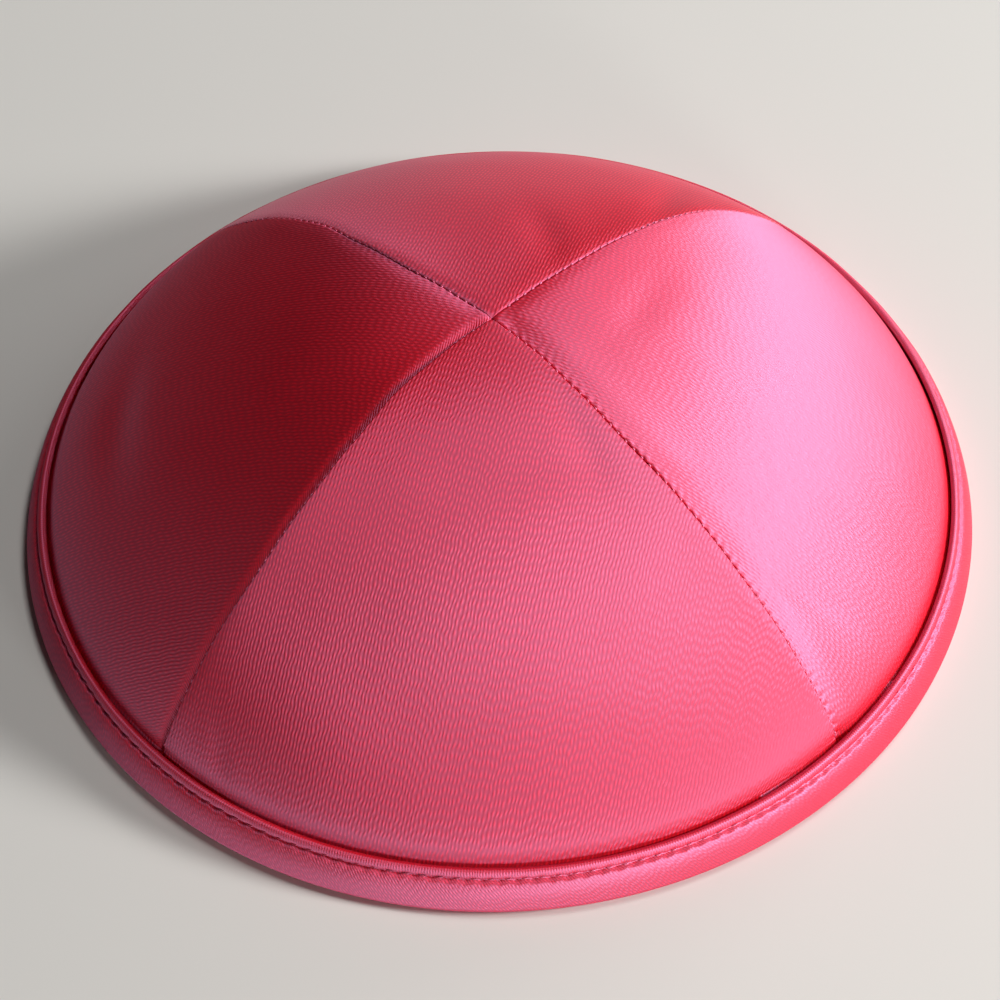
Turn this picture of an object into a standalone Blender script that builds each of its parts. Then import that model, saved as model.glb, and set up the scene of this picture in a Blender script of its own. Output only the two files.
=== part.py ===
"""A satin kippah, dome up: four sewn gores and a folded binding around the rim.

Units are metres, +Z is up, and the kippah rests on the plane z = 0 with its middle at the origin.
The front gore faces -Y, and the four seams run down the diagonals between the gores.
"""
import math

import bmesh
import bpy
import numpy as np

# Rim and crown
rim_radius = 0.0850        # from the middle to the outermost point of the binding
crown_rise = 0.0443        # from the lip of the binding up to the top of the crown
crown_roundness = 2.25     # power of the dome's curve: 2 is a parabola, more has a flatter top
crown_fullness = 0.83      # how steeply it leaves the lip: 1 slants in at once, less goes up first
gore_flatness = 0.60       # how straight a level cut across a gore is at the top: 0 round, 1 straight
gore_rounding = 2.2        # how late a gore turns from straight to round on its way down

# Cloth
gore_wall = 0.0012         # satin, backing and facing of a gore together
seam_gap = 0.0003          # between two gores along their seam
seam_dip = 0.0003          # how far a gore's edge rolls under at its seam
seam_roll = 0.0012         # how wide that rolled edge is

# Binding
binding_width = 0.0084     # up the slope, from its fullest point to its lip
binding_steepness = math.radians(66.0)
binding_ply = 0.0010       # folded satin on each side of the gores
binding_fullness = 0.0018  # height of its fullest point over the table
binding_roll = 0.0009      # how far its lower fold curls in from the fullest point
foot_width = 0.0024        # flat ring where the lower fold rests
fit_clearance = 0.0004     # between the gores and the binding around them
tuck_depth = 0.0062        # how far the gores reach down inside the binding

# Fineness of the faceted surfaces
gore_columns = 20
crown_rows = 16
row_crowding = 1.4         # over 1 sets the rows closer together towards the lip
tuck_steps = (0.5, 1.0)    # rows inside the binding, as shares of tuck_depth
rim_segments = 80

# The binding's outer face, from its lip down to its fullest point.
# down is a share of binding_width, proud is a share of binding_ply.
binding_face = (
    # name           down  proud
    ("lip edge",     0.00, 0.50),
    ("lip crown",    0.05, 0.95),
    ("lip foot",     0.13, 1.00),
    ("stitch line",  0.20, 0.55),
    ("band start",   0.27, 1.05),
    ("band crown",   0.45, 1.35),
    ("band foot",    0.75, 1.30),
    ("fullest",      1.00, 1.00),
)

# Soft dents (below zero) and folds (above zero) of the gores.
# across: place on the gore from its left seam (-1) to its right seam (+1), seen from outside.
# down: place as a share of the way out from the top (0) to the lip (1).
# slant: degrees from the gore's own downward line. length, width and depth are shares of crown_rise.
gore_folds = (
    # gore     across   down  slant  length  width   depth
    ("left",   -0.05,   0.87,  90.0,  0.300,  0.085, -0.019),
    ("left",    0.35,   0.55,   8.0,  0.350,  0.120, -0.010),
    ("right",  -0.66,   0.62,   8.0,  0.620,  0.085,  0.012),
    ("right",  -0.83,   0.84,   0.0,  0.150,  0.036, -0.009),
    ("right",   0.25,   0.38,  50.0,  0.260,  0.090, -0.010),
    ("back",   -0.42,   0.35,  12.0,  0.260,  0.085, -0.012),
    ("back",   -0.79,   0.67,  -8.0,  0.380,  0.085, -0.013),
    ("front",   0.66,   0.37,  22.0,  0.260,  0.070, -0.010),
    ("front",  -0.10,   0.42,  84.0,  0.500,  0.110, -0.008),
    ("front",  -0.80,   0.98,  20.0,  0.070,  0.036, -0.008),
)

gore_centres = {"right": 0.0, "back": 90.0, "left": 180.0, "front": 270.0}

# The binding's slope, and the crease where the crown leaves its lip
slope = np.array([math.cos(binding_steepness), -math.sin(binding_steepness)])
proud = np.array([math.sin(binding_steepness), math.cos(binding_steepness)])
fullest_point = np.array([rim_radius, binding_fullness])
crease = fullest_point - binding_width * slope - (binding_ply + fit_clearance) * proud
crease_radius, crease_height = crease


def clear_scene():
    for item in list(bpy.data.objects):
        bpy.data.objects.remove(item, do_unlink=True)


def satin(name, colour, roughness):
    material = bpy.data.materials.new(name)
    material.use_nodes = True
    shader = material.node_tree.nodes["Principled BSDF"]
    shader.inputs["Base Color"].default_value = (*colour, 1.0)
    shader.inputs["Roughness"].default_value = roughness
    shader.inputs["Metallic"].default_value = 0.0
    return material


def seam_line(rows):
    """Radius and height along a seam, from the top of the crown down into the binding."""
    narrowest = 1.0 - gore_flatness * (1.0 - math.cos(math.pi / 4))
    tip = seam_gap / (2.0 * math.sin(math.pi / 4) * narrowest * crease_radius)
    share = 1.0 - (1.0 - tip) * np.linspace(1.0, 0.0, rows) ** row_crowding
    crown = np.column_stack([
        crease_radius * share,
        crease_height + crown_rise * (1.0 - share ** crown_roundness) ** crown_fullness,
    ])
    tuck = crease + tuck_depth * np.array(tuck_steps)[:, None] * slope
    shares = np.append(share, np.ones(len(tuck_steps)))
    return np.vstack([crown, tuck]), shares


def fold_depth(gore, across, shares, radius):
    """How far each point of a gore is pushed in or out by its dents and folds."""
    depth = np.zeros_like(radius)
    arc = across * math.pi / 4 * radius
    for name, side, down, slant, length, width, height in gore_folds:
        if name != gore:
            continue
        aside = arc - side * math.pi / 4 * down * crease_radius
        below = (shares - down) * math.hypot(crease_radius, crown_rise)
        turn = math.radians(slant)
        along = below * math.cos(turn) + aside * math.sin(turn)
        over = aside * math.cos(turn) - below * math.sin(turn)
        bump = np.exp(-(along / (length * crown_rise)) ** 2 - (over / (width * crown_rise)) ** 2)
        depth += height * crown_rise * bump
    fade = np.clip((1.0 - shares) / 0.04, 0.0, 1.0)
    return depth * fade


def gore_surfaces(gore):
    """Outer and inner points of one gore, each as rows from the top down by columns across."""
    line, shares = seam_line(crown_rows)
    step = np.linspace(-1.0, 1.0, gore_columns + 1)
    across = (0.6 * step + 0.4 * np.sin(step * math.pi / 2))[None, :]
    narrowest = 1.0 - gore_flatness * (1.0 - math.cos(math.pi / 4))
    trim = np.arcsin(np.minimum(seam_gap / 2 / (line[:, 0] * narrowest), math.sin(math.pi / 4)))
    turn = across * (math.pi / 4 - trim)[:, None]
    flat = gore_flatness * (1.0 - shares ** gore_rounding)[:, None]
    radius = line[:, :1] * (1.0 - flat * (1.0 - math.cos(math.pi / 4) / np.cos(turn)))
    height = np.repeat(line[:, 1:], gore_columns + 1, axis=1)
    shares = np.repeat(shares[:, None], gore_columns + 1, axis=1)

    # The surface's normal in the plane that holds the axis
    run = np.gradient(radius, axis=0)
    fall = np.gradient(height, axis=0)
    size = np.hypot(run, fall)
    out_r, out_z = -fall / size, run / size
    out_r[0], out_z[0] = 0.0, 1.0

    edge = (1.0 - np.abs(across)) * math.pi / 4 * radius
    rolled = -seam_dip * np.exp(-(edge / seam_roll) ** 2)
    rolled *= np.clip((1.0 - shares) / 0.04, 0.0, 1.0) * np.clip(shares / 0.1, 0.0, 1.0)
    lift = fold_depth(gore, across, shares, radius) + rolled
    angle = math.radians(gore_centres[gore]) + turn
    skins = []
    for offset in (lift, lift - gore_wall):
        r = radius + offset * out_r
        z = height + offset * out_z
        r[0] = radius[0]
        skins.append(np.stack([r * np.cos(angle), r * np.sin(angle), z], axis=-1))
    return skins


def add_object(name, mesh, material):
    mesh.materials.append(material)
    mesh.shade_smooth()
    mesh.set_sharp_from_angle(angle=math.radians(40))
    item = bpy.data.objects.new(name, mesh)
    bpy.context.scene.collection.objects.link(item)
    return item


def build_gore(gore, material):
    """Two skins joined along both seams and along the bottom edge, and closed at the top."""
    outer, inner = gore_surfaces(gore)
    model = bmesh.new()
    skins = []
    for points in (outer, inner):
        tip = model.verts.new(points[0].mean(axis=0))
        rows = [[tip] * points.shape[1]]
        rows += [[model.verts.new(point) for point in row] for row in points[1:]]
        skins.append(rows)
    top, under = skins
    last = len(top) - 1
    side = len(top[0]) - 1

    def face(*corners):
        ring = list(dict.fromkeys(corners))
        if len(ring) > 2:
            model.faces.new(ring)

    for i in range(last):
        for j in range(side):
            face(top[i][j], top[i + 1][j], top[i + 1][j + 1], top[i][j + 1])
            face(under[i][j + 1], under[i + 1][j + 1], under[i + 1][j], under[i][j])
        face(under[i][0], under[i + 1][0], top[i + 1][0], top[i][0])
        face(top[i][side], top[i + 1][side], under[i + 1][side], under[i][side])
    for j in range(side):
        face(top[last][j], under[last][j], under[last][j + 1], top[last][j + 1])

    bmesh.ops.triangulate(model, faces=model.faces[:], quad_method="SHORT_EDGE")
    mesh = bpy.data.meshes.new(gore + "_panel")
    model.to_mesh(mesh)
    model.free()
    return add_object(gore + "_panel", mesh, material)


def binding_section():
    """The binding's section as radius and height, once around from its lip down the outside."""
    outside = [
        crease + down * binding_width * slope + (fit_clearance + share * binding_ply) * proud
        for _, down, share in binding_face
    ]
    foot_outer = rim_radius - binding_roll
    foot_inner = foot_outer - foot_width
    outside.append(np.array([
        foot_outer + binding_roll * math.cos(math.radians(45)),
        binding_fullness * (1.0 - math.sin(math.radians(45))),
    ]))
    foot = [np.array([foot_outer, 0.0]), np.array([foot_inner, 0.0])]

    inner_skin = -(gore_wall + fit_clearance + binding_ply)
    slot_inner = -(gore_wall + fit_clearance)
    inside = [
        crease + down * slope + inner_skin * proud
        for down in (tuck_depth, tuck_depth * 0.55, binding_ply)
    ]
    inner_lip = crease + 0.4 * binding_ply * slope + (slot_inner - 0.5 * binding_ply) * proud
    floor = tuck_depth + fit_clearance
    slot = [
        crease + binding_ply * slope + slot_inner * proud,
        crease + floor * slope + slot_inner * proud,
        crease + floor * slope + fit_clearance * proud,
        crease + 0.3 * binding_ply * slope + fit_clearance * proud,
    ]
    return np.array(outside + foot + inside + [inner_lip] + slot)


def build_binding(material):
    """The section carried once around the axis."""
    section = binding_section()
    model = bmesh.new()
    rings = []
    for k in range(rim_segments):
        turn = 2.0 * math.pi * k / rim_segments
        rings.append([
            model.verts.new((r * math.cos(turn), r * math.sin(turn), z)) for r, z in section
        ])
    count = len(section)
    for k in range(rim_segments):
        here, there = rings[k], rings[(k + 1) % rim_segments]
        for i in range(count):
            j = (i + 1) % count
            model.faces.new((here[i], here[j], there[j], there[i]))
    bmesh.ops.recalc_face_normals(model, faces=model.faces[:])
    bmesh.ops.triangulate(model, faces=model.faces[:], quad_method="SHORT_EDGE")
    mesh = bpy.data.meshes.new("rim_binding")
    model.to_mesh(mesh)
    model.free()
    return add_object("rim_binding", mesh, material)


def main():
    clear_scene()
    looks = {
        "front": satin("front_satin", (0.56, 0.030, 0.105), 0.42),
        "right": satin("right_satin", (0.60, 0.040, 0.125), 0.40),
        "back": satin("back_satin", (0.52, 0.028, 0.100), 0.44),
        "left": satin("left_satin", (0.46, 0.020, 0.070), 0.42),
    }
    for gore in gore_centres:
        build_gore(gore, looks[gore])
    build_binding(satin("binding_satin", (0.50, 0.025, 0.090), 0.48))


main()
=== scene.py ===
import math

import bpy
import numpy as np
from mathutils import Matrix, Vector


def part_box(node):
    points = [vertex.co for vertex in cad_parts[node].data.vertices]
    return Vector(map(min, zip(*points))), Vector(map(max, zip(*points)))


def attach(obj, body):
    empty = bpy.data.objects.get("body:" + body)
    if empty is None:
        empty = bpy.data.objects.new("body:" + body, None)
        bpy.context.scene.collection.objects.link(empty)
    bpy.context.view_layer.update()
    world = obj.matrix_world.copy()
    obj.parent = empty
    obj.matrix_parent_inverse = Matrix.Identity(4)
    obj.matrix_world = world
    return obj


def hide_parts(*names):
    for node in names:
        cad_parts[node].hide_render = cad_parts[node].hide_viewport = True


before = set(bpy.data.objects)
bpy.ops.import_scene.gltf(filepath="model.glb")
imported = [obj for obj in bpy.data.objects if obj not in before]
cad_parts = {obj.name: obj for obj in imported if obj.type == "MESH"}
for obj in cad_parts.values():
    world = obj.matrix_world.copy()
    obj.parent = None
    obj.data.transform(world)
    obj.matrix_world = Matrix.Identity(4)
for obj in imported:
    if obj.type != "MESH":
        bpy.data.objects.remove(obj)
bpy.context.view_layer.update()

# Real sizes, in metres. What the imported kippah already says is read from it.
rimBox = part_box("rim_binding")
rimRadius = rimBox[1].x
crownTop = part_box("front_panel")[1].z

binding = {
    "width": 0.0079, "steepness": math.radians(66.0), "ply": 0.0010, "fullness": 0.0018,
    "roll": 0.0026, "foot": 0.0010, "clearance": 0.0001, "slotRoom": 0.0004, "seat": 0.0004,
    "tuck": 0.0062, "lipEdge": 0.0007, "grooveAt": 0.00190, "grooveWidth": 0.00028,
    "grooveDepth": 0.00050, "plump": 0.00042, "stitches": 184, "pinch": 0.00024,
    "scallop": 0.00012, "columns": 1472,
}
gore = {
    "flatness": 0.60, "rounding": 2.2, "roundness": 2.25, "fullness": 0.83, "wall": 0.0012,
    "rowCrowding": 1.5, "clothTurn": 0.24, "rows": 230, "tuckRows": 6,
    "middleColumns": 96, "columnCrowding": 0.72, "edgeColumns": 8,
    "creaseDip": 0.00035, "creaseWidth": 0.0009, "topDip": 0.00045, "topWidth": 0.0008,
    "ripple": 0.00007, "foldShare": 0.75,
}
centres = {"right": 0.0, "back": 90.0, "left": 180.0, "front": 270.0}

slope = np.array([math.cos(binding["steepness"]), -math.sin(binding["steepness"])])
proud = np.array([math.sin(binding["steepness"]), math.cos(binding["steepness"])])
fullest = np.array([rimRadius, binding["fullness"]])
crease = fullest - binding["width"] * slope - (binding["ply"] + binding["seat"]) * proud
crownRise = crownTop - crease[1]

# How far each seam strays sideways from its diagonal, in millimetres, against the share of the way out
seamStray = {
    "share":      (0.00, 0.12, 0.25, 0.40, 0.55, 0.70, 0.85, 1.00),
    "frontLeft":  (0.00, -0.70, -1.10, -0.45, 0.10, 0.45, 0.15, 0.00),
    "frontRight": (0.00, 0.10, -0.40, -0.90, -0.50, -0.25, 0.20, 0.40),
    "backRight":  (0.00, -0.10, -0.30, -0.10, 0.35, 0.60, 0.20, 0.00),
    "backLeft":   (0.00, 0.40, 0.90, 0.60, -0.60, -0.50, -0.10, 0.00),
}
goreSeams = {  # gore: seam at its left edge, seam at its right edge, seen from outside
    "right": ("frontRight", "backRight"), "back": ("backRight", "backLeft"),
    "left": ("backLeft", "frontLeft"), "front": ("frontLeft", "frontRight"),
}

# Soft dents and folds. across runs -1..1 from seam to seam, down 0..1 from the top to the lip,
# slant is degrees from the gore's downward line, length, width and depth are shares of crownRise.
goreFolds = (
    # gore     across   down  slant  length  width   depth
    ("left",   -0.05,   0.87,  90.0,  0.300,  0.085, -0.019),
    ("left",    0.35,   0.55,   8.0,  0.350,  0.120, -0.010),
    ("right",  -0.66,   0.62,   8.0,  0.620,  0.085,  0.012),
    ("right",  -0.83,   0.84,   0.0,  0.150,  0.036, -0.009),
    ("right",   0.25,   0.38,  50.0,  0.260,  0.090, -0.010),
    ("back",   -0.42,   0.35,  12.0,  0.260,  0.085, -0.012),
    ("back",   -0.79,   0.67,  -8.0,  0.380,  0.085, -0.013),
    ("front",   0.66,   0.37,  22.0,  0.260,  0.070, -0.010),
    ("front",  -0.10,   0.42,  84.0,  0.500,  0.110, -0.008),
    ("front",  -0.80,   0.98,  20.0,  0.070,  0.036, -0.008),
)
# How each gore's two edges meet their seams, in metres. fall and reach: how far and from where the
# cloth sinks to the seam; roll and turnIn: the rounded edge itself; gap: half the open seam;
# notch and step: the pull of the hidden stitches; fringe: how strongly short ribs show there.
edgeTable = {
    # gore and edge       fall     reach   roll     turnIn   gap      notch    step    fringe
    "rightFrontEdge":  (0.00050, 0.0028, 0.00040, 0.00050, 0.00012, 0.00022, 0.0020, 0.10),
    "rightBackEdge":   (0.00020, 0.0018, 0.00030, 0.00050, 0.00005, 0.00006, 0.0020, 0.00),
    "backRightEdge":   (0.00016, 0.0014, 0.00030, 0.00050, 0.00005, 0.00006, 0.0020, 0.00),
    "backLeftEdge":    (0.00016, 0.0014, 0.00030, 0.00050, 0.00005, 0.00012, 0.0018, 0.10),
    "leftBackEdge":    (0.00022, 0.0018, 0.00030, 0.00050, 0.00005, 0.00012, 0.0018, 0.10),
    "leftFrontEdge":   (0.00036, 0.0013, 0.00020, 0.00030, 0.00005, 0.00008, 0.0020, 1.00),
    "frontLeftEdge":   (0.00006, 0.0010, 0.00022, 0.00025, 0.00005, 0.00003, 0.0020, 0.00),
    "frontRightEdge":  (0.00006, 0.0010, 0.00022, 0.00025, 0.00012, 0.00008, 0.0020, 0.00),
}
goreEdges = {
    "right": ("rightFrontEdge", "rightBackEdge"), "back": ("backRightEdge", "backLeftEdge"),
    "left": ("leftBackEdge", "leftFrontEdge"), "front": ("frontLeftEdge", "frontRightEdge"),
}
edgeNames = ("fall", "reach", "roll", "turnIn", "gap", "notch", "step", "fringe")


def easeTable(places, values, at):
    # Smoothstep between table rows: value = a + (b - a) * (3 s^2 - 2 s^3)
    places, values = np.array(places), np.array(values)
    i = np.clip(np.searchsorted(places, at, side="right") - 1, 0, len(places) - 2)
    s = np.clip((at - places[i]) / (places[i + 1] - places[i]), 0.0, 1.0)
    return values[i] + (values[i + 1] - values[i]) * (3.0 * s ** 2 - 2.0 * s ** 3)


def strayTurn(seam, shares, radius):
    # Sideways stray over the radius gives the seam's turn away from its diagonal
    stray = easeTable(seamStray["share"], seamStray[seam], np.clip(shares, 0.0, 1.0)) / 1000.0
    return stray / np.maximum(radius, 0.004)


def seamLine(rows, tuckRows, tipShare):
    # height = crease + rise * (1 - share^roundness)^fullness; below the lip it runs straight down the slope
    share = 1.0 - (1.0 - tipShare) * np.linspace(1.0, 0.0, rows) ** gore["rowCrowding"]
    dome = (1.0 - share ** gore["roundness"]) ** gore["fullness"]
    crown = np.column_stack([crease[0] * share, crease[1] + crownRise * dome])
    reach = (binding["tuck"] - binding["seat"]) * np.arange(1, tuckRows + 1) / tuckRows
    line = np.vstack([crown, crease + reach[:, None] * slope])
    return line, np.append(share, np.ones(tuckRows)), np.append(np.zeros(rows), reach)


def foldLift(name, across, shares, radius):
    # Sum of gaussian dents: depth * exp(-(along/length)^2 - (over/width)^2)
    lift = np.zeros_like(radius)
    for owner, side, down, slant, length, width, depth in goreFolds:
        if owner != name:
            continue
        aside = (across * radius - side * down * crease[0]) * math.pi / 4
        below = (shares - down) * math.hypot(crease[0], crownRise)
        turn = math.radians(slant)
        along = below * math.cos(turn) + aside * math.sin(turn)
        over = aside * math.cos(turn) - below * math.sin(turn)
        lift += depth * crownRise * np.exp(
            -(along / (length * crownRise)) ** 2 - (over / (width * crownRise)) ** 2)
    return gore["foldShare"] * lift * np.clip((1.0 - shares) / 0.04, 0.0, 1.0)


def softRipple(x, y, seed, count=14, shortest=0.011, longest=0.036):
    # Sum of plane waves with seeded directions and phases, shorter waves weaker
    rng = np.random.default_rng(seed)
    total = np.zeros_like(x)
    for wave in np.linspace(longest, shortest, count):
        angle, phase = rng.uniform(0.0, math.pi), rng.uniform(0.0, 2.0 * math.pi)
        total += (wave / longest) * np.sin(
            2.0 * math.pi * (x * math.cos(angle) + y * math.sin(angle)) / wave + phase)
    return total / math.sqrt(count)


def flatCloth(line, x, y):
    # Lays the gore flat: a level line becomes an arc of radius r / (dr/ds), and threads run straight down
    grow = np.gradient(line[:, 0], y[:, 0])
    bend = np.minimum(line[:, 0] / np.maximum(grow, 1e-3), gore["clothTurn"])[:, None]
    return np.stack([bend * np.sin(x / bend), y - bend * (1.0 - np.cos(x / bend))], axis=-1)


def goreSurface(name, seed):
    # Rows run down the gore, columns across it. Each row is a level cut whose radius is
    # r = r_seam * (1 - k * (1 - cos45 / cos(turn))); k fades down the gore, so the rim is round.
    half = math.pi / 4
    tip = 0.00012 / crease[0]
    line, shares, reach = seamLine(gore["rows"], gore["tuckRows"], tip)
    rSeam = line[:, 0]
    lowEdge, highEdge = (dict(zip(edgeNames, edgeTable[edge])) for edge in goreEdges[name])
    leftSeam, rightSeam = goreSeams[name]
    low = -half + strayTurn(leftSeam, shares, rSeam) + np.arcsin(np.minimum(lowEdge["gap"] / rSeam, 0.4))
    high = half + strayTurn(rightSeam, shares, rSeam) - np.arcsin(np.minimum(highEdge["gap"] / rSeam, 0.4))
    lowTurnIn = np.minimum(lowEdge["turnIn"] / rSeam, (high - low) * 0.3)[:, None]
    highTurnIn = np.minimum(highEdge["turnIn"] / rSeam, (high - low) * 0.3)[:, None]
    quarter = np.linspace(0.0, math.pi / 2, gore["edgeColumns"])
    curl = 1.0 - np.cos(quarter)[None]
    step = np.linspace(0.0, 1.0, gore["middleColumns"])[1:-1]
    middle = step - gore["columnCrowding"] * np.sin(2.0 * math.pi * step) / (2.0 * math.pi)
    low, high = low[:, None], high[:, None]
    turn = np.hstack([
        low + lowTurnIn * curl,
        low + lowTurnIn + (high - low - lowTurnIn - highTurnIn) * middle[None],
        (high - highTurnIn * curl)[:, ::-1]])
    drop = 1.0 - np.sin(quarter)
    rolled = np.concatenate([
        lowEdge["roll"] * drop, np.zeros(len(middle)), (highEdge["roll"] * drop)[::-1]])[None]

    k = gore["flatness"] * (1.0 - shares ** gore["rounding"])[:, None]
    radius = rSeam[:, None] * (1.0 - k * (1.0 - math.cos(half) / np.cos(turn)))
    height = np.repeat(line[:, 1:], turn.shape[1], axis=1)
    share = np.repeat(shares[:, None], turn.shape[1], axis=1)
    run, fall = np.gradient(radius, axis=0), np.gradient(height, axis=0)
    size = np.hypot(run, fall)
    outR, outZ = -fall / size, run / size

    downLine = line[0, 0] + np.append(0.0, np.cumsum(np.hypot(*np.diff(line, axis=0).T)))[:, None]
    x = turn * radius
    y = np.repeat(downLine, turn.shape[1], axis=1)

    broad = foldLift(name, turn / half, share, radius)
    calm = np.clip((1.0 - share) / 0.05, 0.0, 1.0) * np.clip(share / 0.15, 0.0, 1.0)
    broad = broad + gore["ripple"] * softRipple(x, y, seed) * calm
    fine = -rolled * np.clip(rSeam / 0.004, 0.1, 1.0)[:, None]
    fringe = np.zeros_like(radius)
    for edge, arc in ((lowEdge, (turn - low) * radius), (highEdge, (high - turn) * radius)):
        pull = 0.5 + 0.5 * np.cos(2.0 * math.pi * y / edge["step"])
        fine -= edge["fall"] * np.exp(-(arc / edge["reach"]) ** 2) * np.clip(share / 0.06, 0.0, 1.0)
        fine -= edge["notch"] * pull ** 2 * np.exp(-(arc / 0.0009) ** 2) * np.clip(share / 0.06, 0.0, 1.0)
        fringe += edge["fringe"] * np.exp(-(arc / 0.0012) ** 2)
    above = (1.0 - share) * math.hypot(crease[0], crownRise)
    fine -= gore["creaseDip"] * np.exp(-(above / gore["creaseWidth"]) ** 2)
    fine -= gore["topDip"] * np.exp(-(radius / gore["topWidth"]) ** 2)

    angle = math.radians(centres[name]) + turn
    skins = []
    for lift in (broad + fine, broad * 0.8 - gore["wall"]):
        r, z = radius + lift * outR, height + lift * outZ
        skins.append(np.stack([r * np.cos(angle), r * np.sin(angle), z], axis=-1))
    return skins[0], skins[1], flatCloth(line, x, y), fringe


def meshFromLoops(name, points, cloth, fringe, closedRows, material):
    # points[i, j] joined to its neighbours along i and, going round, along j
    rows, columns = points.shape[:2]
    index = np.arange(rows * columns).reshape(rows, columns)
    here = index if closedRows else index[:-1]
    below = np.roll(index, -1, axis=0) if closedRows else index[1:]
    quads = np.stack([here, below, np.roll(below, -1, axis=1), np.roll(here, -1, axis=1)], axis=-1)
    quads = quads.reshape(-1, 4)
    if not closedRows:  # the two ends are strips from the outer skin to the inner one
        j = np.arange(columns // 2 - 1)
        for row, flip in ((index[0], False), (index[-1], True)):
            cap = np.stack([row[j], row[j + 1], row[columns - 2 - j], row[columns - 1 - j]], axis=-1)
            quads = np.vstack([quads, cap[:, ::-1] if flip else cap])
    return meshPiece(name, points, [quads], cloth, fringe, material)


def meshPiece(name, points, faceSets, cloth, fringe, material):
    # Each set of faces is an array with one face a row, all of its faces with as many corners
    loops = np.concatenate([faces.reshape(-1) for faces in faceSets])
    sizes = np.concatenate([np.full(len(faces), faces.shape[1]) for faces in faceSets])
    mesh = bpy.data.meshes.new(name)
    mesh.vertices.add(points.size // 3)
    mesh.vertices.foreach_set("co", points.reshape(-1).astype(np.float32))
    mesh.loops.add(len(loops))
    mesh.loops.foreach_set("vertex_index", loops.astype(np.int32))
    mesh.polygons.add(len(sizes))
    mesh.polygons.foreach_set("loop_start", (np.cumsum(sizes) - sizes).astype(np.int32))
    mesh.update(calc_edges=True)
    layer = mesh.uv_layers.new(name="clothMap")
    layer.data.foreach_set("uv", cloth.reshape(-1, 2)[loops].reshape(-1).astype(np.float32))
    near = mesh.attributes.new("fringe", "FLOAT", "POINT")
    near.data.foreach_set("value", np.broadcast_to(fringe, points.shape[:-1]).reshape(-1).astype(np.float32))
    mesh.materials.append(material)
    mesh.polygons.foreach_set("use_smooth", np.ones(len(sizes), dtype=bool))
    piece = bpy.data.objects.new(name, mesh)
    bpy.context.scene.collection.objects.link(piece)
    return piece


def buildGore(name, seed, material):
    outer, inner, cloth, fringe = goreSurface(name, seed)
    points = np.concatenate([outer, inner[:, ::-1]], axis=1)
    maps = np.concatenate([cloth, cloth[:, ::-1]], axis=1)
    both = np.concatenate([fringe, np.zeros_like(fringe)], axis=1)
    return meshFromLoops(name + "_gore", points, maps, both, False, material)


def bindingFace(turn, down):
    # How far the outer ply stands proud of the crease line: its seat and thickness, rounded at the lip's
    # upper edge, less the stitched groove with its pinches, plus a swell like a half sine over the band
    b = binding
    wave = np.cos(b["stitches"] * turn)
    wobble = softRipple(np.cos(turn) * rimRadius, np.sin(turn) * rimRadius, 31)
    lipRound = np.clip(1.0 - down / b["lipEdge"], 0.0, 1.0)
    grooveAt = b["grooveAt"] + b["scallop"] * (wave + 0.8 * wobble)
    groove = np.exp(-((down - grooveAt) / b["grooveWidth"]) ** 2)
    band = np.clip((down - b["grooveAt"]) / (b["width"] - b["grooveAt"]), 0.0, 1.0)
    face = b["seat"] + b["ply"] * (0.45 + 0.55 * np.sqrt(1.0 - lipRound ** 2))
    face = face - groove * (b["grooveDepth"] + b["pinch"] * (0.5 + 0.5 * wave) ** 2)
    face = face + np.sin(math.pi * band ** 0.75) * b["plump"] * (1.0 + 0.18 * wobble)
    return face + 0.00012 * wobble * np.exp(-((down - 0.0009) / 0.0006) ** 2)


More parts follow.
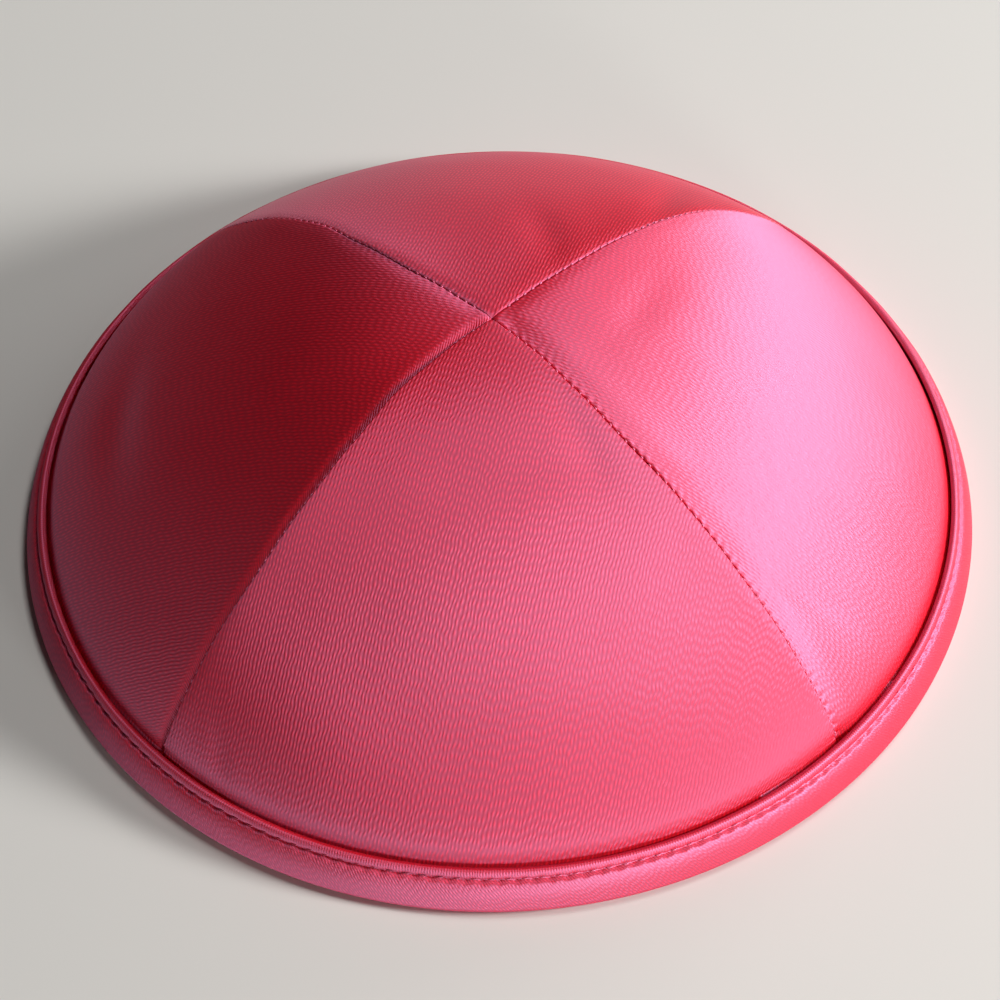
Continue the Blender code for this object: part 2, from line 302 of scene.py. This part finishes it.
def bindingSurface():
    b = binding
    turn = 2.0 * math.pi * np.arange(b["columns"]) / b["columns"]
    down = np.concatenate([
        0.5 * b["lipEdge"] * (1.0 - np.cos(np.linspace(0.0, math.pi / 2, 6))),
        np.linspace(0.5 * b["lipEdge"], b["width"], 27)[1:]])
    face = bindingFace(turn[:, None], down[None])
    outR = crease[0] + down[None] * slope[0] + face * proud[0]
    outZ = crease[1] + down[None] * slope[1] + face * proud[1]

    # The rest of the section is the same all round: under the foot, up the inner ply, down the slot
    footOuter = rimRadius - b["roll"]
    footInner = footOuter - b["foot"]
    bend = np.linspace(0.0, math.pi / 2, 7)[1:]
    lower = [(footOuter + b["roll"] * math.cos(a), b["fullness"] * (1.0 - math.sin(a))) for a in bend]
    foot = [(footOuter - b["foot"] * s, 0.0) for s in (0.33, 0.66, 1.0)]
    innerLine = -(gore["wall"] + b["slotRoom"] + b["ply"])
    slotInner = -(gore["wall"] + b["slotRoom"])
    innerLow = crease + b["tuck"] * slope + innerLine * proud
    curve = [((1 - s) ** 2 * np.array([footInner, 0.0]) + 2 * s * (1 - s) * np.array([footInner - 0.0008, 0.0])
              + s ** 2 * innerLow) for s in (0.2, 0.4, 0.6, 0.8)]
    innerUp = [crease + d * slope + innerLine * proud
               for d in np.linspace(b["tuck"], b["ply"] * 0.6, 9)]
    halfPly = b["ply"] / 2
    lipIn = [crease + (b["ply"] * 0.6 - halfPly * math.sin(a)) * slope
             + ((innerLine + slotInner) / 2 - halfPly * math.cos(a)) * proud
             for a in np.linspace(0.0, math.pi, 7)[1:-1]]
    floor = b["tuck"] + b["seat"]
    slot = [crease + d * slope + slotInner * proud for d in np.linspace(b["ply"] * 0.6, floor, 4)]
    slot += [crease + d * slope + b["clearance"] * proud for d in (floor, floor * 0.5, 0.0006)]
    lipTop = [crease + 0.00012 * slope + (b["clearance"] + 0.00012) * proud]
    rest = np.array(lower + foot + curve + innerUp + lipIn + slot + lipTop)
    ones = np.ones((b["columns"], 1))
    r, z = np.hstack([outR, ones * rest[None, :, 0]]), np.hstack([outZ, ones * rest[None, :, 1]])
    points = np.stack([r * np.cos(turn)[:, None], r * np.sin(turn)[:, None], z], axis=-1)
    around = np.append(0.0, np.cumsum(np.hypot(np.diff(r[0]), np.diff(z[0]))))
    cloth = np.stack([ones * around[None], turn[:, None] * rimRadius * np.ones((1, r.shape[1]))], axis=-1)
    lip = 0.6 * np.exp(-((around - b["grooveAt"] * 0.45) / 0.0010) ** 4)
    return points, cloth, ones * lip[None]


def buildBinding(material):
    points, cloth, lip = bindingSurface()
    return meshFromLoops("rim_strip", points, cloth, lip, True, material)


thread = {"radius": 0.00014, "rings": 9, "sides": 8, "rimLength": 0.0013, "rimBow": 0.00022,
          "seamLength": 0.0007, "seamBow": 0.00014, "seamStep": 0.0019, "seamSink": 0.00030}


def threadDashes(name, middle, along, out, length, bow, material):
    # Each dash is a bowed tube: middle + along * s * length / 2 - out * bow * s^2 for s from -1 to 1,
    # and its radius is the thread's times (1 - s^6)^(1/2), so both ends close in the cloth
    s = np.linspace(-0.995, 0.995, thread["rings"])[None, :, None]
    line = middle[:, None] + along[:, None] * s * length / 2 - out[:, None] * bow * s ** 2
    thick = thread["radius"] * np.sqrt(1.0 - s ** 6)[..., None]
    a = 2.0 * math.pi * np.arange(thread["sides"]) / thread["sides"]
    side = np.cross(along, out)
    ring = out[:, None] * np.cos(a)[None, :, None] + side[:, None] * np.sin(a)[None, :, None]
    points = line[:, :, None] + thick * ring[:, None]
    count, rings, sides = points.shape[:3]
    index = np.arange(count * rings * sides).reshape(count, rings, sides)
    turned = np.roll(index, -1, axis=2)
    quads = np.stack([index[:, :-1], turned[:, :-1], turned[:, 1:], index[:, 1:]], axis=-1).reshape(-1, 4)
    caps = np.concatenate([index[:, 0, ::-1], index[:, -1]])
    cloth = np.stack(np.broadcast_arrays(
        (a * thread["radius"])[None, None], s * length / 2 + np.zeros((count, 1, 1))), axis=-1)
    return meshPiece(name, points, [quads, caps], cloth, 0.0, material)


def around(turn, r, z):
    return np.stack([r * np.cos(turn), r * np.sin(turn), z + 0.0 * turn], axis=-1)


def buildRimStitches(material):
    # One dash in the groove between two pinches, and one behind it on the inner ply
    b = binding
    turn = 2.0 * math.pi * (np.arange(b["stitches"]) + 0.5) / b["stitches"]
    along = around(turn + math.pi / 2, 1.0, 0.0)
    out = around(turn, proud[0], proud[1])
    middles = []
    for face in (bindingFace(turn, b["grooveAt"]) + 0.4 * thread["radius"],
                 -(gore["wall"] + b["slotRoom"] + b["ply"] + 0.3 * thread["radius"]) + 0.0 * turn):
        r = crease[0] + b["grooveAt"] * slope[0] + face * proud[0]
        z = crease[1] + b["grooveAt"] * slope[1] + face * proud[1]
        middles.append(around(turn, r, z))
    middle = np.concatenate(middles)
    return threadDashes("rim_stitches", middle, np.tile(along, (2, 1)), np.concatenate([out, -out]),
                        thread["rimLength"], thread["rimBow"], material)


def buildSeamStitches(material):
    # Dashes along the four seams, sunk between the gores' edges, at even steps down each seam
    line, shares, reach = seamLine(400, 1, 0.00012 / crease[0])
    run = np.append(0.0, np.cumsum(np.hypot(*np.diff(line, axis=0).T)))
    at = np.arange(0.004, run[-2] - 0.0015, thread["seamStep"])
    middles, alongs, outs = [], [], []
    for seam, corner in (("frontRight", -45.0), ("backRight", 45.0), ("backLeft", 135.0), ("frontLeft", 225.0)):
        turn = math.radians(corner) + strayTurn(seam, shares, line[:, 0])
        path = around(turn, line[:, 0], line[:, 1])
        along = np.gradient(path, axis=0)
        along = along / np.linalg.norm(along, axis=1, keepdims=True)
        side = around(turn + math.pi / 2, 1.0, 0.0)
        out = np.cross(side, along)
        out = out * np.sign(out[:, 2:]) / np.linalg.norm(out, axis=1, keepdims=True)
        pick = [np.stack([np.interp(at, run, part[:, i]) for i in range(3)], axis=-1)
                for part in (path, along, out)]
        middles.append(pick[0] - pick[2] * thread["seamSink"])
        alongs.append(pick[1])
        outs.append(pick[2])
    return threadDashes("seam_stitches", np.concatenate(middles), np.concatenate(alongs),
                        np.concatenate(outs), thread["seamLength"], thread["seamBow"], material)


def nodeMaker(material):
    # Makes a shader node and fills its sockets: a socket is linked, anything else is its value
    material.use_nodes = True
    tree = material.node_tree

    def node(kind, inputs, **settings):
        made = tree.nodes.new("ShaderNode" + kind)
        for key, value in settings.items():
            setattr(made, key, value)
        for key, value in inputs.items():
            fillSocket(tree, made.inputs[key], value)
        return made
    return node


def fillSocket(tree, socket, value):
    if isinstance(value, bpy.types.NodeSocket):
        tree.links.new(value, socket)
    else:
        socket.default_value = value


def satin(name, look):
    # Threads lie side by side, height = ridge * bead: ridge = cosine of over / width, and bead = cosine of
    # along / length with a random start in each thread; over and along are measured on the cloth's map.
    # Short ribs run along v where the fringe attribute is high, at the seams and on the lip.
    material = bpy.data.materials.new(name)
    node = nodeMaker(material)
    lean = math.radians(look["lean"])
    c, s, turn = math.cos(lean), math.sin(lean), 2.0 * math.pi
    cloth = node("UVMap", {}, uv_map="clothMap").outputs["UV"]
    drift = node("TexNoise", {"Vector": cloth, "Scale": look["driftScale"], "Detail": 1.0},
                 noise_dimensions="2D").outputs["Color"]
    place = node("VectorMath", {0: drift, 1: (look["drift"] * look["threadStep"],) * 3, 2: cloth},
                 operation="MULTIPLY_ADD").outputs["Vector"]
    over = node("VectorMath", {0: place, 1: (c / look["threadStep"], s / look["threadStep"], 0.0)},
                operation="DOT_PRODUCT").outputs["Value"]
    along = node("VectorMath", {0: place, 1: (-s / look["floatLength"], c / look["floatLength"], 0.0)},
                 operation="DOT_PRODUCT").outputs["Value"]
    number = node("Math", {0: over}, operation="ROUND").outputs["Value"]
    start = node("TexWhiteNoise", {"W": number}, noise_dimensions="1D").outputs["Value"]
    shifted = node("Math", {0: along, 1: start}, operation="ADD").outputs["Value"]

    def hump(value, low):
        # 1 at whole numbers, low halfway between them
        angle = node("Math", {0: value, 1: turn}, operation="MULTIPLY").outputs["Value"]
        wave = node("Math", {0: angle}, operation="COSINE").outputs["Value"]
        return node("MapRange", {"Value": wave, "From Min": -1.0, "To Min": low}).outputs["Result"]

    threads = node("Math", {0: hump(over, 0.0), 1: hump(shifted, look["beadLow"])},
                   operation="MULTIPLY").outputs["Value"]

    fringe = node("Attribute", {}, attribute_name="fringe").outputs["Fac"]
    ribPlace = node("VectorMath", {0: place, 1: (0.0, 1.0 / look["ribStep"], 0.0)},
                    operation="DOT_PRODUCT").outputs["Value"]
    weave = node("Mix", {0: fringe, 2: threads, 3: hump(ribPlace, 0.0)}, data_type="FLOAT").outputs[0]

    # Base colour follows the thread height: painted shade (the darker colour) in the hollows between threads and
    # ribs, painted light (the lighter colour) on their tops
    paintedWeaveShade = node("Mix", {0: weave, 6: (*look["paintedHollowShade"], 1.0), 7: (*look["paintedThreadTopLight"], 1.0)},
                 data_type="RGBA").outputs[2]
    cloud = node("TexNoise", {"Vector": cloth, "Scale": look["cloudScale"], "Detail": 3.0},
                 noise_dimensions="2D").outputs["Fac"]
    patch = node("Mix", {0: cloud, 6: paintedWeaveShade, 7: (*look["cloudTint"], 1.0)},
                 data_type="RGBA", blend_type="MULTIPLY").outputs[2]
    gloss = node("MapRange", {"Value": weave, "To Min": look["roughness"] + look["roughSwing"],
                              "To Max": look["roughness"] - look["roughSwing"]}).outputs["Result"]
    bump = node("Bump", {"Strength": look["bump"], "Distance": look["bumpHeight"],
                         "Height": weave}).outputs["Normal"]
    grain = node("Tangent", {}, direction_type="UV_MAP", uv_map="clothMap").outputs["Tangent"]

    shader = material.node_tree.nodes["Principled BSDF"]
    for key, value in (
            ("Base Color", patch), ("Roughness", gloss), ("Normal", bump), ("Tangent", grain),
            ("IOR", look["ior"]), ("Specular IOR Level", look["specular"]),
            ("Specular Tint", (*look["specularTint"], 1.0)), ("Anisotropic", look["anisotropic"]),
            ("Anisotropic Rotation", look["grainTurn"]), ("Sheen Weight", look["sheen"]),
            ("Sheen Roughness", look["sheenRoughness"]), ("Sheen Tint", (*look["sheenTint"], 1.0))):
        fillSocket(material.node_tree, shader.inputs[key], value)
    return material


# The weave's two colours are the satin's red with painted shade in the hollows between threads and painted light
# on the thread tops
goreLook = {
    "lean": 15.0, "threadStep": 0.00066, "floatLength": 0.0017, "beadLow": 0.35,
    "drift": 0.8, "driftScale": 400.0, "ribStep": 0.00052, "cloudScale": 60.0,
    "paintedHollowShade": (0.50, 0.001, 0.004), "paintedThreadTopLight": (0.90, 0.002, 0.007), "cloudTint": (0.94, 0.90, 0.92),
    "roughness": 0.61, "roughSwing": 0.03, "bump": 0.6, "bumpHeight": 0.00008,
    "ior": 2.75, "specular": 0.5, "specularTint": (1.0, 0.56, 1.0),
    "anisotropic": 0.80, "grainTurn": 0.017, "sheen": 0.0, "sheenRoughness": 0.4, "sheenTint": (1.0, 0.6, 0.7),
}
bindingLook = dict(goreLook, lean=-55.0, threadStep=0.00047, floatLength=0.0012, ribStep=0.00048,
                   bump=0.6, grainTurn=0.347)
# The sewing thread's two colours are likewise painted shade in its hollows and painted light on its tops
threadLook = dict(goreLook, lean=40.0, threadStep=0.00012, floatLength=0.0006, bump=0.2,
                  paintedHollowShade=(0.55, 0.05, 0.08), paintedThreadTopLight=(0.70, 0.10, 0.15), roughness=0.5)

print("cloth")
goreSatin = satin("gore satin", goreLook)
bindingSatin = satin("binding satin", bindingLook)
sewingThread = satin("sewing thread", threadLook)

print("gores")
gores = {}
for seed, name in enumerate(centres):
    gores[name] = buildGore(name, 11 + seed, goreSatin)
    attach(gores[name], "root")
    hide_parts(name + "_panel")

print("binding")
strip = buildBinding(bindingSatin)
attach(strip, "root")
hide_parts("rim_binding")

print("stitches")
rimStitches = buildRimStitches(sewingThread)
seamStitches = buildSeamStitches(sewingThread)
for stitches in (rimStitches, seamStitches):
    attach(stitches, "root")

print("floor, light and camera")
stage = {"floorSize": 6.0, "floorColour": (0.72, 0.70, 0.66)}


def plainMaterial(name, colour, roughness):
    material = bpy.data.materials.new(name)
    material.use_nodes = True
    shader = material.node_tree.nodes["Principled BSDF"]
    shader.inputs["Base Color"].default_value = (*colour, 1.0)
    shader.inputs["Roughness"].default_value = roughness
    return material


def buildFloor():
    half = stage["floorSize"] / 2
    mesh = bpy.data.meshes.new("floor")
    mesh.from_pydata([(-half, -half, 0), (half, -half, 0), (half, half, 0), (-half, half, 0)], [], [(0, 1, 2, 3)])
    mesh.materials.append(plainMaterial("floor", stage["floorColour"], 0.9))
    floor = bpy.data.objects.new("floor", mesh)
    bpy.context.scene.collection.objects.link(floor)


buildFloor()

lights = {
    # name: azimuth, elevation, width, height in metres, brightness. Azimuth 0 is +X, 90 is behind.
    "lowFront": (301.0, 8.0, 0.36, 0.30, 32.0),
    "right": (348.0, 24.0, 0.36, 0.30, 84.0),
    "lowBack": (42.0, 8.0, 1.30, 0.62, 7.1),
    "top": (18.0, 70.0, 0.72, 0.30, 13.0),
}
lightDistance = 1.6


def aim(place, target):
    back = place - target
    back = back / np.linalg.norm(back)
    right = np.cross([0.0, 0.0, 1.0], back)
    right = right / np.linalg.norm(right)
    return right, np.cross(back, right), back


def axesMatrix(right, up, back, place):
    return Matrix(np.vstack([np.column_stack([right, up, back, place]), [0, 0, 0, 1]]).tolist())


def addLight(name, azimuth, elevation, width, height, brightness):
    # A soft box facing the kippah; its watts are pi * width * height * brightness
    lamp = bpy.data.lights.new(name, "AREA")
    lamp.shape = "RECTANGLE"
    lamp.size, lamp.size_y = width, height
    lamp.energy = math.pi * width * height * brightness
    item = bpy.data.objects.new(name, lamp)
    bpy.context.scene.collection.objects.link(item)
    a, e = math.radians(azimuth), math.radians(elevation)
    place = lightDistance * np.array([math.cos(e) * math.cos(a), math.cos(e) * math.sin(a), math.sin(e)])
    right, up, back = aim(place, np.array([0.0, 0.0, 0.02]))
    item.matrix_world = axesMatrix(right, up, back, place)


for name, values in lights.items():
    addLight(name, *values)

world = bpy.data.worlds.new("room")
bpy.context.scene.world = world
world.use_nodes = True
world.node_tree.nodes["Background"].inputs["Color"].default_value = (0.9, 0.93, 1.0, 1.0)
world.node_tree.nodes["Background"].inputs["Strength"].default_value = 0.02

shot = {
    "elevation": 51.81, "turn": 1.44, "roll": 2.07, "distance": 0.6079, "focalPixels": 3351.0,
    "target": (0.0003, 0.0026, 0.0),
}


def buildCamera():
    # The camera looks down on the rim's middle from the front, a little to the right
    e, t, roll = (math.radians(shot[key]) for key in ("elevation", "turn", "roll"))
    spin = np.array([[math.cos(t), -math.sin(t), 0.0], [math.sin(t), math.cos(t), 0.0], [0.0, 0.0, 1.0]])
    back = np.array([0.0, -math.cos(e), math.sin(e)])
    right = np.array([1.0, 0.0, 0.0])
    up = np.cross(back, right)
    place = spin @ (np.array(shot["target"]) + back * shot["distance"])
    back, right, up = spin @ back, spin @ right, spin @ up
    side = math.cos(roll) * right - math.sin(roll) * up
    top = math.sin(roll) * right + math.cos(roll) * up
    data = bpy.data.cameras.new("camera")
    data.sensor_width = 36.0
    data.lens = 36.0 * shot["focalPixels"] / 1000.0
    data.clip_start = 0.01
    item = bpy.data.objects.new("camera", data)
    bpy.context.scene.collection.objects.link(item)
    item.matrix_world = axesMatrix(side, top, back, place)
    bpy.context.scene.camera = item


buildCamera()
bpy.context.scene.view_settings.view_transform = "Standard"
